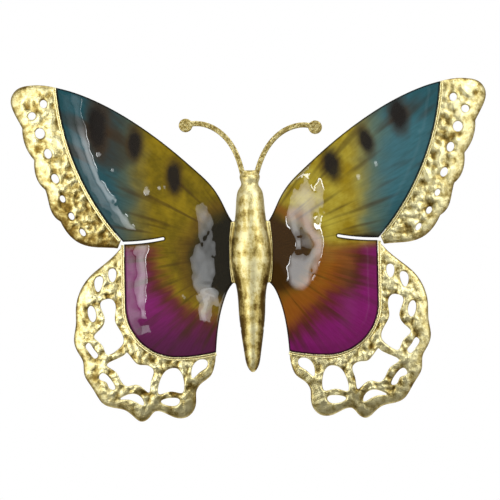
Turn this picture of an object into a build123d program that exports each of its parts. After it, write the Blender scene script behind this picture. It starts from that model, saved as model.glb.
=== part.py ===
from build123d import *

import os
from math import atan2, cos, exp, hypot, pi, sin, sqrt

# Butterfly wall ornament: lacquered sheet wings with pierced gilt borders on a hollow pressed body.
# The wings spread along X, the head is up +Z, the front faces -Y and the wall is the plane y = 0.
# The origin is the centre of the hanger's hole, in the face that lies on the wall.
# Outlines are drawn in millimetres from the middle of the thorax: x to the side, z up.

# Sheet thicknesses, and the gap left between seated sheets
PANEL_SHEET = 0.8
LACE_SHEET = 1.2
BODY_SHEET = 0.9
PLATE_SHEET = 1.0
ANTENNA_SHEET = 1.5
HANGER_SHEET = 1.2
SEAT_GAP = 0.2

# Wing borders: where the coloured panel ends and the pierced lace begins
NOTCH_X, NOTCH_Z = 81.0, 5.8
TIP_X, TIP_Z = 122.8, 105.9
FORE_RADIUS = 168.6
HIND_FOOT_Z = -67.8
HIND_CORNER = 33.0
HIND_INNER_X, HIND_INNER_Z = 23.4, -65.0
LACE_LAP = 3.0

# Wing relief: depths toward the viewer
LACE_RISE = 3.2
PILLOW_RISE = 4.2
PILLOW_WIDTH = 18.0
PILLOW_RUN = 36.0
CROWN_RISE = 2.6
CROWN_WIDTH = 62.0
ROOT_RUN = 16.0
ROOT_FLAT = 1.2
LACE_DROOP = 5.5
FORE_LACE_WIDTH = 30.0
HIND_LACE_WIDTH = 45.0

# Spacing of the level curves that carry the relief
PANEL_STEP = 4.15
LACE_STEP = 6.2

# Beads along the borders
RIM_WIDTH = 2.0
RIM_HEIGHT = 1.6
RIM_GAP = 0.2

# Slit between forewing and hindwing, from the notch inward
SLIT_WIDTH = 1.6
SLIT_LENGTH = 25.0
SLIT_LIFT = 2.4

# Body pressing with its side flanges, and the plate behind the wing roots
FLANGE_HALF = 14.0
FLANGE_END_HALF = 12.6
FLANGE_TOP, FLANGE_BOTTOM = 18.5, -21.0
TAB_HALF = 8.6
TAB_SHOULDER = 1.0
PLATE_MARGIN = 1.5
PLATE_CORNER = 3.0

# Antennae: flat strips with round ends, lapped behind the head
ANTENNA_WIDTH = 3.4
ANTENNA_DISC = 4.4
ANTENNA_TURN = 2.0
HEAD_SOLDER = 6.0

# Wall hanger: a cranked strap with a nail hole
WALL_GAP = 5.0
HANGER_HEIGHT = 25.0
HANGER_WIDTH = 12.0
HANGER_HOLE = 2.5
HANGER_FOOT = 14.0
HANGER_CRANK = 4.0
HANGER_TAIL = 13.0
HANGER_BEND = 1.6
HANGER_WELD = 1.2

# Body sections from head to tail: height, half width, depth
BODY_SECTIONS = [
    (51.0, 5.2, 3.0),
    (48.0, 5.6, 4.2),
    (44.5, 5.6, 4.4),
    (42.0, 5.4, 4.0),
    (39.0, 7.2, 5.6),
    (34.0, 8.7, 7.0),
    (26.0, 9.3, 8.0),
    (14.0, 10.3, 9.0),
    (-3.0, 11.0, 9.6),
    (-16.0, 10.3, 9.0),
    (-26.0, 9.1, 8.0),
    (-40.0, 8.5, 7.2),
    (-55.0, 7.0, 6.0),
    (-67.0, 5.3, 4.7),
    (-75.0, 3.4, 3.1),
    (-78.2, 0.9, 0.8),
]

# Free edges of the coloured panel
LEADING_EDGE = [(14, 22.5), (18, 31), (25, 42), (34, 51), (50, 65.2), (70, 80.5), (90, 92.9), (110, 102)]
TRAILING_EDGE = [(13.8, -23.5), (17, -30), (19.8, -39), (22.3, -53)]

# Antenna line from the strip's root to the middle of its round end
ANTENNA_LINE = [(3.4, 44.0), (4.8, 50.0), (9.9, 63.7), (20.6, 76.0), (32.2, 80.4), (41.5, 79.2)]

# Lace outlines run along a border: share of its length from its start, and reach outward from it.
# The forewing border starts at the tip, and the hindwing border at the notch.
# Each scallop starts where the one before it ends.
FORE_EDGE_START = 0.0, 0.0
FORE_SCALLOPS = [
    [(-0.018, 7.1), (-0.025, 17.0), (-0.009, 25.7), (0.034, 29.9), (0.1, 29.3), (0.188, 25.6)],
    [(0.223, 26.4), (0.287, 26.2), (0.359, 23.5)],
    [(0.412, 25.6), (0.465, 26.0), (0.519, 23.9)],
    [(0.568, 24.9), (0.623, 26.5), (0.699, 24.7)],
    [(0.747, 25.0), (0.826, 23.3), (0.88, 19.5), (0.956, 10.2), (0.998, 5.4)],
]
FORE_LAP_ENDS = 0.02, 0.92
FORE_RIM_END = 0.975

# Forewing holes: share, reach, half size along the border, half size across it, turn in degrees
FORE_HOLES = [
    (0.083, 9.3, 2.6, 2.3, 0),
    (0.136, 17.9, 2.4, 2.5, 0),
    (0.235, 15.1, 3.3, 3.1, 0),
    (0.351, 13.7, 3.1, 2.3, 0),
    (0.489, 15.0, 3.1, 2.2, -8),
    (0.603, 16.3, 2.3, 1.6, 0),
    (0.706, 16.8, 2.4, 1.7, 0),
    (0.810, 16.5, 2.6, 1.5, 0),
]

HIND_EDGE = [
    (0.039, 3.6), (0.073, 7.5), (0.119, 14.0), (0.188, 23.5), (0.254, 28.7), (0.351, 31.9),
    (0.394, 33.0), (0.437, 37.0), (0.467, 37.3), (0.492, 37.2), (0.521, 41.1), (0.551, 42.6),
    (0.576, 44.2), (0.602, 45.9), (0.627, 44.3), (0.652, 42.1), (0.677, 43.4), (0.700, 45.0),
    (0.715, 41.4), (0.727, 36.3), (0.748, 36.1), (0.779, 38.9), (0.814, 39.1), (0.850, 35.0),
    (0.865, 28.7), (0.870, 22.7), (0.899, 17.8), (0.942, 14.6), (0.973, 9.0), (1.0, 0.0),
]
HIND_LAP_ENDS = 0.08, 0.985
HIND_RIM_START = 0.01

# Hindwing openings, each a closed smooth curve
HIND_OPENINGS = [
    [(0.138, 8.0), (0.152, 10.3), (0.212, 8.0), (0.177, 5.5)],
    [(0.18, 16.0), (0.229, 19.5), (0.264, 17.6), (0.22, 14.3)],
    [(0.342, 22.9), (0.357, 24.2), (0.396, 21.6), (0.38, 19.2)],
    [(0.304, 11.8), (0.327, 15.9), (0.39, 13.9), (0.425, 18.0), (0.443, 23.7), (0.48, 21.2),
     (0.512, 21.8), (0.521, 14.3), (0.507, 8.0), (0.453, 6.8), (0.41, 7.8), (0.339, 6.3)],
    [(0.454, 29.3), (0.458, 30.8), (0.483, 30.6), (0.504, 28.9), (0.502, 27.2), (0.477, 27.2)],
    [(0.552, 11.3), (0.544, 19.4), (0.54, 26.0), (0.57, 24.8), (0.601, 26.8), (0.625, 27.9),
     (0.654, 23.6), (0.696, 25.5), (0.691, 18.2), (0.684, 10.8), (0.658, 9.6), (0.623, 12.0),
     (0.588, 11.5)],
    [(0.55, 34.6), (0.548, 31.8), (0.577, 30.5), (0.603, 34.2), (0.592, 35.4), (0.573, 33.9)],
    [(0.692, 33.3), (0.684, 30.9), (0.649, 30.7), (0.629, 37.6), (0.656, 34.3)],
    [(0.793, 28.6), (0.765, 31.4), (0.737, 29.4), (0.764, 26.3)],
    [(0.774, 7.0), (0.735, 9.7), (0.722, 15.5), (0.727, 24.8), (0.765, 22.1), (0.806, 22.9),
     (0.815, 15.3), (0.8, 9.2)],
    [(0.926, 2.9), (0.888, 3.5), (0.857, 9.0), (0.857, 14.0), (0.898, 10.5), (0.937, 7.7), (0.943, 4.6)],
]

# Layers from the wall forward, as y values
PLATE_BACK = -WALL_GAP
PLATE_FRONT = PLATE_BACK - PLATE_SHEET
TAB_BACK = PLATE_FRONT - SEAT_GAP
TAB_FRONT = TAB_BACK - PANEL_SHEET
SHELL_BACK = TAB_FRONT - SEAT_GAP
CROWN_FRONT = TAB_FRONT - LACE_RISE - SEAT_GAP - PILLOW_RISE - CROWN_RISE

# Half widths where the wing edges leave the flange, and of the plate behind it
SHOULDER_HALF = FLANGE_END_HALF - TAB_SHOULDER
PLATE_HALF = FLANGE_END_HALF - PLATE_MARGIN

# Forewing border: an arc of FORE_RADIUS from the tip to the notch
_half_chord = hypot(TIP_X - NOTCH_X, TIP_Z - NOTCH_Z) / 2
_sagitta_leg = sqrt(FORE_RADIUS**2 - _half_chord**2) / (2 * _half_chord)
FORE_CENTRE = (
    (TIP_X + NOTCH_X) / 2 - (TIP_Z - NOTCH_Z) * _sagitta_leg,
    (TIP_Z + NOTCH_Z) / 2 + (TIP_X - NOTCH_X) * _sagitta_leg,
)
FORE_START = atan2(TIP_Z - FORE_CENTRE[1], TIP_X - FORE_CENTRE[0])
FORE_END = atan2(NOTCH_Z - FORE_CENTRE[1], NOTCH_X - FORE_CENTRE[0])

# Hindwing border: a straight side, a round corner, and a shallow arc to the inner end
CORNER_X, CORNER_Z = NOTCH_X - HIND_CORNER, HIND_FOOT_Z + HIND_CORNER
_sweep_run, _sweep_rise = CORNER_X - HIND_INNER_X, HIND_INNER_Z - HIND_FOOT_Z
SWEEP_RADIUS = (_sweep_run**2 + _sweep_rise**2) / (2 * _sweep_rise)
SWEEP_Z = HIND_FOOT_Z + SWEEP_RADIUS
SIDE_LENGTH = NOTCH_Z - CORNER_Z
CORNER_LENGTH = HIND_CORNER * pi / 2
SWEEP_LENGTH = SWEEP_RADIUS * atan2(_sweep_run, SWEEP_Z - HIND_INNER_Z)
HIND_LENGTH = SIDE_LENGTH + CORNER_LENGTH + SWEEP_LENGTH
CORNER_SHARES = SIDE_LENGTH / HIND_LENGTH, (SIDE_LENGTH + CORNER_LENGTH) / HIND_LENGTH


def fore_point(share, reach):
    """A point beside the forewing border, in the drawing."""
    angle = FORE_START + share * (FORE_END - FORE_START)
    radius = FORE_RADIUS + reach
    return FORE_CENTRE[0] + radius * cos(angle), FORE_CENTRE[1] + radius * sin(angle)


def hind_point(share, reach):
    """A point beside the hindwing border, in the drawing."""
    run = share * HIND_LENGTH
    if run <= SIDE_LENGTH:
        return NOTCH_X + reach, NOTCH_Z - run
    if run <= SIDE_LENGTH + CORNER_LENGTH:
        angle = (run - SIDE_LENGTH) / HIND_CORNER
        radius = HIND_CORNER + reach
        return CORNER_X + radius * cos(angle), CORNER_Z - radius * sin(angle)
    angle = (run - SIDE_LENGTH - CORNER_LENGTH) / SWEEP_RADIUS
    radius = SWEEP_RADIUS + reach
    return CORNER_X - radius * sin(angle), SWEEP_Z - radius * cos(angle)


def fore_reach(x, z):
    """How far a point lies outside the forewing border."""
    return hypot(x - FORE_CENTRE[0], z - FORE_CENTRE[1]) - FORE_RADIUS


def hind_reach(x, z):
    """How far a point lies outside the hindwing border."""
    if x < CORNER_X:
        return hypot(x - CORNER_X, z - SWEEP_Z) - SWEEP_RADIUS
    if z < CORNER_Z:
        return hypot(x - CORNER_X, z - CORNER_Z) - HIND_CORNER
    return x - NOTCH_X


def arc_beside(point, start, end, reach):
    """An arc that keeps one reach from a border, between two shares of it."""
    return ThreePointArc(point(start, reach), point((start + end) / 2, reach), point(end, reach))


def fore_run(reach, start=0.0, end=1.0):
    """The line beside the forewing border at one reach."""
    return [arc_beside(fore_point, start, end, reach)]


def hind_run(reach, start=0.0, end=1.0):
    """The line beside the hindwing border at one reach: side, corner and sweep."""
    corner_start, corner_end = CORNER_SHARES
    return [
        Line(hind_point(start, reach), hind_point(corner_start, reach)),
        arc_beside(hind_point, corner_start, corner_end, reach),
        arc_beside(hind_point, corner_end, end, reach),
    ]


def smooth_step(t):
    """Eases from 0 to 1 as t goes from 0 to 1."""
    t = min(max(t, 0.0), 1.0)
    return t * t * (3 - 2 * t)


def root_rise(x, z, run):
    """Eases from 0 on the flat wing root to 1 on the open wing, about a run away."""
    above, below = z - FLANGE_TOP - ROOT_FLAT, FLANGE_BOTTOM - ROOT_FLAT - z
    beyond = hypot(max(x - FLANGE_HALF - ROOT_FLAT, 0.0), max(above, below, 0.0))
    return 1 - exp(-((beyond / run) ** 2))


def roll(inside, width):
    """Rolls up from 0 at a border to 1 at a width inside it, and a little down outside it."""
    turn = pi / 2 * inside / width
    if turn < 0:
        return (exp(2 * turn) - 1) / 2
    return sin(min(turn, pi / 2))


def panel_front(x, z):
    """Front of the coloured panel: flat at the root, then a crowned pillow that rolls to the borders."""
    blend = smooth_step(0.5 + (z - NOTCH_Z) / PILLOW_WIDTH)
    inside = -(hind_reach(x, z) + blend * (fore_reach(x, z) - hind_reach(x, z)))
    pillow = PILLOW_RISE * roll(inside, PILLOW_WIDTH) + CROWN_RISE * roll(inside, CROWN_WIDTH)
    lift = root_rise(x, z, ROOT_RUN) * (LACE_RISE + SEAT_GAP)
    return TAB_FRONT - lift - root_rise(x, z, PILLOW_RUN) * pillow


def lace_front(reach, width):
    """Front of a lace border, which droops back toward its outer edge."""
    def front(x, z):
        outside = max(reach(x, z), 0.0) / width
        return TAB_BACK - LACE_RISE + LACE_DROOP * outside**2
    return front


def even_shares(length, step):
    """Shares from 0 to 1 that split a length into near even steps."""
    count = round(length / step)
    return [i / count for i in range(count + 1)]


def relief(front, x_span, z_span, step):
    """A smooth face that follows a front: level curves across the wing, lofted upward."""
    (left, right), (bottom, top) = x_span, z_span
    x_shares = even_shares(right - left, step)
    curves = []
    for z_share in even_shares(top - bottom, step):
        z = bottom + (top - bottom) * z_share
        across = [left + (right - left) * x_share for x_share in x_shares]
        points = [Vector(x, front(x, z), z) for x in across]
        curves.append(Wire([Edge.make_spline(points, parameters=x_shares)]))
    return Shell.make_loft(curves).face()


def outline_prism(outline):
    """A flat outline of the drawing, carried through the whole depth of the ornament."""
    return extrude(Plane.XZ * outline, amount=2 * CROWN_FRONT, both=True)


def cut_sheet(face, thickness, outline):
    """The sheet behind a relief face, cut to an outline."""
    sheet = Solid.extrude(face, (0, thickness, 0))
    return (sheet & outline_prism(outline)).solid()


def slit_outline():
    """Slit from the notch inward, which lifts as a parabola and has a round end."""
    end = NOTCH_X - SLIT_LENGTH, NOTCH_Z + SLIT_LIFT
    line = Spline(
        (NOTCH_X + SLIT_WIDTH, NOTCH_Z),
        (NOTCH_X, NOTCH_Z),
        (NOTCH_X - SLIT_LENGTH / 2, NOTCH_Z + SLIT_LIFT / 4),
        end,
    )
    return trace(line, SLIT_WIDTH) + Pos(*end) * Circle(SLIT_WIDTH / 2)


def wing_panel():
    """Right coloured panel: domed sheet with a flat root tab and the slit from the notch."""
    tip = fore_point(0, 0)
    inner_end = hind_point(1, 0)
    tab_top, tab_bottom = (TAB_HALF, FLANGE_TOP), (TAB_HALF, FLANGE_BOTTOM)
    edges = [
        Polyline(tab_bottom, tab_top, (SHOULDER_HALF, FLANGE_TOP)),
        Spline((SHOULDER_HALF, FLANGE_TOP), *LEADING_EDGE, tip),
        *fore_run(0),
        *hind_run(0),
        Spline(inner_end, *reversed(TRAILING_EDGE), (SHOULDER_HALF, FLANGE_BOTTOM)),
        Line((SHOULDER_HALF, FLANGE_BOTTOM), tab_bottom),
    ]
    face = relief(
        panel_front,
        (TAB_HALF - LACE_LAP, TIP_X + LACE_LAP),
        (HIND_FOOT_Z - LACE_LAP, TIP_Z + LACE_LAP),
        PANEL_STEP,
    )
    return cut_sheet(face, PANEL_SHEET, make_face(edges) - slit_outline())


def forewing_lace_outline():
    """Forewing lace: scalloped outer edge, eight holes, and a strip that laps behind the panel."""
    lap_start, lap_end = FORE_LAP_ENDS
    edges = [
        *fore_run(-LACE_LAP, lap_start, lap_end),
        *fore_run(RIM_GAP, lap_end, FORE_RIM_END),
        Line(fore_point(lap_end, -LACE_LAP), fore_point(lap_end, RIM_GAP)),
        Line(fore_point(lap_start, -LACE_LAP), fore_point(*FORE_EDGE_START)),
    ]
    corner = FORE_EDGE_START
    for scallop in FORE_SCALLOPS:
        edges.append(Spline(*[fore_point(*p) for p in [corner, *scallop]]))
        corner = scallop[-1]
    edges.append(Line(fore_point(*corner), fore_point(FORE_RIM_END, RIM_GAP)))
    outline = make_face(edges)
    for share, reach, along, across, turn in FORE_HOLES:
        direction = (FORE_START + share * (FORE_END - FORE_START)) * 180 / pi
        outline -= Pos(*fore_point(share, reach)) * Rot(0, 0, direction + turn) * Ellipse(across, along)
    return outline


def hindwing_lace_outline():
    """Hindwing lace: wavy outer edge, eleven openings, and a strip that laps behind the panel."""
    lap_start, lap_end = HIND_LAP_ENDS
    edges = [
        Spline(*[hind_point(*p) for p in HIND_EDGE]),
        Line(hind_point(*HIND_EDGE[-1]), hind_point(lap_end, -LACE_LAP)),
        *hind_run(-LACE_LAP, lap_start, lap_end),
        Polyline(
            hind_point(lap_start, -LACE_LAP),
            hind_point(lap_start, RIM_GAP),
            hind_point(HIND_RIM_START, RIM_GAP),
            hind_point(*HIND_EDGE[0]),
        ),
    ]
    outline = make_face(edges)
    for opening in HIND_OPENINGS:
        outline -= make_face(Spline(*[hind_point(*p) for p in opening], periodic=True))
    return outline


def rim_outline(run, point, ends):
    """A narrow band just outside a border, for the bead that hides the seam."""
    start, end = ends
    near, far = RIM_GAP, RIM_GAP + RIM_WIDTH
    return make_face([
        *run(near, start, end),
        *run(far, start, end),
        Line(point(start, near), point(start, far)),
        Line(point(end, near), point(end, far)),
    ])


def lace_and_rim(front, outline, band, x_span, z_span):
    """A lace border and the bead that stands on it, from one relief face."""
    face = relief(front, x_span, z_span, LACE_STEP)
    lace = cut_sheet(face, LACE_SHEET, outline)
    rim = cut_sheet(Pos(0, -RIM_HEIGHT, 0) * face, RIM_HEIGHT, band)
    return lace, rim


def body_section(height, half_width, depth):
    """Half-oval section of the body at one height, flat at the back."""
    arc = EllipticalCenterArc((0, 0), half_width, depth, start_angle=180, arc_size=180)
    face = make_face([arc, Line((half_width, 0), (-half_width, 0))])
    return Plane((0, SHELL_BACK, height), x_dir=(1, 0, 0), z_dir=(0, 0, 1)) * face


def body_form(sections, skin):
    """The body's rounded form, reduced all round by a skin."""
    return loft([
        body_section(height - skin, half_width - skin, depth - skin)
        for height, half_width, depth in sections
    ])


def body_shell():
    """Hollow body pressing, open at the back, with a flat flange over each wing root."""
    outer = body_form(BODY_SECTIONS, 0)
    inner = body_form(BODY_SECTIONS[:-2], BODY_SHEET)
    side = ThreePointArc(
        (FLANGE_END_HALF, FLANGE_TOP),
        (FLANGE_HALF, (FLANGE_TOP + FLANGE_BOTTOM) / 2),
        (FLANGE_END_HALF, FLANGE_BOTTOM),
    )
    right_half = make_face([
        side,
        Polyline((FLANGE_END_HALF, FLANGE_BOTTOM), (0, FLANGE_BOTTOM), (0, FLANGE_TOP),
                 (FLANGE_END_HALF, FLANGE_TOP)),
    ])
    flange = right_half + mirror(right_half, about=Plane.YZ)
    flange_sheet = extrude(Plane.XZ.offset(-SHELL_BACK) * flange, amount=BODY_SHEET)
    return (outer + flange_sheet - inner).solid()


def back_plate():
    """Flat plate behind the wing roots, which ties both wings and the body together."""
    height = FLANGE_TOP - FLANGE_BOTTOM - 2 * PLATE_MARGIN
    outline = RectangleRounded(2 * PLATE_HALF, height, PLATE_CORNER)
    outline = Pos(0, (FLANGE_TOP + FLANGE_BOTTOM) / 2) * outline
    return extrude(Plane.XZ.offset(-PLATE_BACK) * outline, amount=PLATE_SHEET)


def antenna(turn):
    """Right antenna: a curved flat strip with a round end, turned a little at its root."""
    line = Spline(*ANTENNA_LINE)
    outline = trace(line, ANTENNA_WIDTH) + Pos(*ANTENNA_LINE[-1]) * Circle(ANTENNA_DISC)
    outline += Pos(*ANTENNA_LINE[0]) * Circle(ANTENNA_WIDTH / 2)
    strip = extrude(Plane.XZ.offset(-SHELL_BACK) * outline, amount=-ANTENNA_SHEET)
    root = Axis((ANTENNA_LINE[1][0], 0, ANTENNA_LINE[1][1]), (0, 1, 0))
    return strip.rotate(root, turn)


def wall_hanger():
    """Cranked strap: its foot is on the back plate, and its tail has the nail hole on the wall."""
    bend = HANGER_HEIGHT - HANGER_TAIL
    middle = HANGER_SHEET / 2
    line = FilletPolyline(
        (PLATE_BACK + middle, bend - HANGER_CRANK - HANGER_FOOT),
        (PLATE_BACK + middle, bend - HANGER_CRANK),
        (-middle, bend),
        (-middle, HANGER_HEIGHT + HANGER_WIDTH),
        radius=HANGER_BEND,
    )
    strap = extrude(Plane.YZ * trace(line, HANGER_SHEET), amount=HANGER_WIDTH / 2, both=True)
    top = Pos(0, HANGER_HEIGHT) * Circle(HANGER_WIDTH / 2)
    length = HANGER_HEIGHT - bend + HANGER_CRANK + HANGER_FOOT
    strip = Pos(0, HANGER_HEIGHT - length / 2) * Rectangle(HANGER_WIDTH, length)
    hole = Pos(0, HANGER_HEIGHT) * Circle(HANGER_HOLE)
    return (strap & outline_prism(top + strip - hole)).solid()


def weld_pair(side, seat, leg, bottom, top):
    """Two weld fillets, one on each side, in the corner between a flat seat and a sheet's edge."""
    section = make_face(Polyline((side, seat), (side + leg, seat), (side, seat + leg), close=True))
    bead = extrude(Plane.XY.offset(bottom) * section, amount=top - bottom)
    return Compound(children=[bead, mirror(bead, about=Plane.YZ)])


def hanger_welds():
    """Welds down both sides of the hanger's foot, on the back plate."""
    top = HANGER_HEIGHT - HANGER_TAIL - HANGER_CRANK - HANGER_BEND
    bottom = top - HANGER_FOOT + 2 * HANGER_BEND
    return weld_pair(HANGER_WIDTH / 2, PLATE_BACK, HANGER_WELD, bottom, top)


def root_welds():
    """Welds along the back plate's edges, on the back of the wing roots."""
    inset = PLATE_MARGIN + PLATE_CORNER
    return weld_pair(PLATE_HALF, PLATE_FRONT, PLATE_SHEET, FLANGE_BOTTOM + inset, FLANGE_TOP - inset)


def head_solder():
    """Solder that fills the hollow of the head in front of the antenna roots."""
    hollow = body_form(BODY_SECTIONS[:-2], BODY_SHEET + SEAT_GAP)
    bottom = ANTENNA_LINE[0][1] - ANTENNA_WIDTH / 2
    slice_plane = Plane.XY.offset(bottom)
    keep = extrude(slice_plane * Circle(-CROWN_FRONT), amount=HEAD_SOLDER)
    return (hollow & keep).solid()


def place(shape):
    """Moves a finished piece from the drawing to the hanger's hole."""
    return Pos(0, 0, -HANGER_HEIGHT) * shape


def main():
    """Builds every piece and writes one file for each."""
    fore_lace, fore_rim = lace_and_rim(
        lace_front(fore_reach, FORE_LACE_WIDTH),
        forewing_lace_outline(),
        rim_outline(fore_run, fore_point, (0.0, FORE_RIM_END)),
        (NOTCH_X - 2 * LACE_LAP, TIP_X + FORE_LACE_WIDTH + LACE_LAP),
        (NOTCH_Z - 2 * LACE_LAP, TIP_Z + 2 * LACE_LAP),
    )
    hind_lace, hind_rim = lace_and_rim(
        lace_front(hind_reach, HIND_LACE_WIDTH),
        hindwing_lace_outline(),
        rim_outline(hind_run, hind_point, (HIND_RIM_START, 1.0)),
        (HIND_INNER_X - 2 * LACE_LAP, NOTCH_X + HIND_LACE_WIDTH),
        (HIND_FOOT_Z - HIND_LACE_WIDTH - LACE_LAP, NOTCH_Z + LACE_LAP),
    )
    right_wing = {
        "wing_panel": wing_panel(),
        "forewing_lace": fore_lace,
        "forewing_rim": fore_rim,
        "hindwing_lace": hind_lace,
        "hindwing_rim": hind_rim,
    }
    pieces = {
        "body_shell": body_shell(),
        "back_plate": back_plate(),
        "antenna_right": antenna(ANTENNA_TURN),
        "antenna_left": mirror(antenna(-ANTENNA_TURN), about=Plane.YZ),
        "wall_hanger": wall_hanger(),
        "hanger_welds": hanger_welds(),
        "root_welds": root_welds(),
        "head_solder": head_solder(),
    }
    for name, shape in right_wing.items():
        pieces[name + "_right"] = shape
        pieces[name + "_left"] = mirror(shape, about=Plane.YZ)

    os.makedirs("parts", exist_ok=True)
    for name, shape in pieces.items():
        export_step(place(shape), f"parts/{name}.step")


main()
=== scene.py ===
"""Butterfly wall ornament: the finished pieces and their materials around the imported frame."""

from contextlib import contextmanager
from math import cos, pi, radians, sin

import bmesh
import bpy
import numpy as np
from bpy.props import FloatProperty, FloatVectorProperty, PointerProperty
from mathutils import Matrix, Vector
from mathutils.bvhtree import BVHTree
from mathutils.kdtree import KDTree


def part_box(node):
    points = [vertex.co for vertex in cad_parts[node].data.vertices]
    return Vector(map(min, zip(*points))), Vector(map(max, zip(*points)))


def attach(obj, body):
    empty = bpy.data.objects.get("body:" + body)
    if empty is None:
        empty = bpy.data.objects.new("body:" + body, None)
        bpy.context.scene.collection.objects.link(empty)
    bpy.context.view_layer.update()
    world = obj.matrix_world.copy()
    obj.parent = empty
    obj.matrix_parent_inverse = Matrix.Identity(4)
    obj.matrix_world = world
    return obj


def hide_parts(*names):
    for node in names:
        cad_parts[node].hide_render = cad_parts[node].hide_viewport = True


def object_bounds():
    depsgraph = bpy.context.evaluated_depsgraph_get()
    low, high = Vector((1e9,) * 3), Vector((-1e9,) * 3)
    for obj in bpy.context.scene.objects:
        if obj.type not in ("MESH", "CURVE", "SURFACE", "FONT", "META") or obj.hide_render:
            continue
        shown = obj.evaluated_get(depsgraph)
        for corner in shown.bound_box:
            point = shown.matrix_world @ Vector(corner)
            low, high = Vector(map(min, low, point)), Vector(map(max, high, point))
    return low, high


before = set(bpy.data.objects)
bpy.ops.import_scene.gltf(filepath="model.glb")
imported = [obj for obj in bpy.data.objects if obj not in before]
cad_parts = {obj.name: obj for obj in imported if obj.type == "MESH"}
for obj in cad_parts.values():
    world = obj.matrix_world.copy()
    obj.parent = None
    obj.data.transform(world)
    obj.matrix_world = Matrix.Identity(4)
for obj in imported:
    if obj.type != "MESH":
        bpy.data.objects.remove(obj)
CAD_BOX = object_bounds()

bl_info = {
    "name": "Butterfly wall ornament",
    "version": (1, 0, 0),
    "blender": (4, 5, 0),
    "location": "View3D > Sidebar > Butterfly",
    "description": "Lacquered wings, pierced gilt borders, gilt body and the studio around them",
    "category": "Object",
}

SIDES = "left", "right"
WINGS = "forewing", "hindwing"
MM = 0.001

# Points closer than this are one point: in a copied node, and along a cut, in metres
MERGE = 1e-6
SLIVER = 3e-5

# A face whose normal's y is below FRONT looks at the viewer, and one near 0 is a cut edge.
FRONT = -0.3
WALL = 0.2

# Middle of the thorax, below the frame's origin in the hanger's hole: paint and lumps are measured from it.
THORAX = Vector((0.0, 0.0, -25 * MM))


def paint(red, green, blue):
    """A colour given as 0 to 255 display values, in the linear values that shaders use."""
    shares = (value / 255 for value in (red, green, blue))
    return tuple(s / 12.92 if s <= 0.04045 else ((s + 0.055) / 1.055) ** 2.4 for s in shares)


def length(name, description, default):
    """A length setting, with its default in millimetres."""
    return FloatProperty(
        name=name, description=description, default=default * MM, unit="LENGTH", precision=5
    )


def colour(name, description, default):
    """A colour setting, with its default as display values."""
    return FloatVectorProperty(
        name=name, description=description, default=paint(*default), subtype="COLOR", size=3, min=0, max=1
    )


def brightness(name, description, default):
    """A brightness setting."""
    return FloatProperty(name=name, description=description, default=default, min=0)


class WingSettings(bpy.types.PropertyGroup):
    """Sizes and paint of the lacquered wing panels."""

    step: length("Mesh step", "Spacing of the points on the panel", 0.8)
    sheet: length("Sheet", "Thickness of the panel", 0.8)
    wave_depth: length("Wave depth", "How far the hand-worked sheet wavers", 1.7)
    wave_size: length("Wave size", "Width of one waver in the sheet", 30)
    ripple_depth: length("Ripple depth", "How far the finer ripples in the sheet reach", 0.4)
    ripple_size: length("Ripple size", "Width of one ripple in the sheet", 9)
    lip_width: length("Lip width", "Width of the rounded lip along the panel's edges", 1.6)
    lip_drop: length("Lip drop", "How far the lip rolls back", 0.4)
    teal: colour("Teal", "Paint on the right forewing's tip", (58, 99, 108))
    deep_teal: colour("Deep teal", "Paint on the left forewing's tip", (36, 76, 84))
    slate: colour("Slate", "Paint where the right forewing's teal fades", (96, 106, 80))
    deep_slate: colour("Deep slate", "Paint where the left forewing's teal fades", (84, 90, 66))
    straw: colour("Straw", "Light clouds in the right wing's olive", (172, 156, 54))
    olive: colour("Olive", "Paint on the middle of both wings", (140, 117, 18))
    deep_olive: colour("Deep olive", "Dark clouds in the left wing's olive", (98, 82, 8))
    amber: colour("Amber", "Paint between the olive and the plum", (128, 74, 24))
    wine: colour("Wine", "Dark paint before the plum", (92, 38, 38))
    plum: colour("Plum", "Paint on the hindwings", (118, 30, 94))
    umber: colour("Umber", "Dark paint at the right wing's root", (58, 38, 14))
    soot: colour("Soot", "Dark paint at the left wing's root", (30, 27, 18))
    # Ink also darkens the hindwings' foot, and paints the shade along the panels' edges
    ink: colour("Ink", "Dark brushed marks along the leading edge", (26, 22, 20))


class GiltSettings(bpy.types.PropertyGroup):
    """Sizes and colours of the gilt pieces."""

    voxel: length("Mesh step", "Spacing of the points on the hammered sheets", 0.4)
    bead_voxel: length("Bead mesh step", "Spacing of the points on the narrow beads", 0.28)
    dent_size: length("Dent size", "Width of one hammer dent", 4.6)
    dent_depth: length("Dent depth", "Depth of the hammer dents", 1.4)
    lump_size: length("Lump size", "Width of one broad lump in the sheet", 10)
    lump_depth: length("Lump depth", "Depth of the broad lumps", 1.4)
    edge_width: length("Edge width", "Width of the rolled edge round the lace and its openings", 1.6)
    edge_drop: length("Edge drop", "How far the rolled edge turns back", 0.5)
    hem_width: length("Hem width", "Width of the broad roll along the outer edge of the lace", 5.5)
    hem_drop: length("Hem drop", "How far the broad roll turns back", 0.9)
    pit_size: length("Pit size", "Width of one fine pit in the low ends of the lace", 2.8)
    pit_depth: length("Pit depth", "Depth of the fine pits", 0.7)
    pale: colour("Pale gold", "Leaf on the crests", (236, 225, 172))
    honey: colour("Honey gold", "Leaf between crests and dents", (199, 178, 105))
    # Brown also paints the shade on the lace's turned edges and hem, and on the body's sides and flanges
    brown: colour("Brown", "Stain in the dents", (106, 82, 33))


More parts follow.
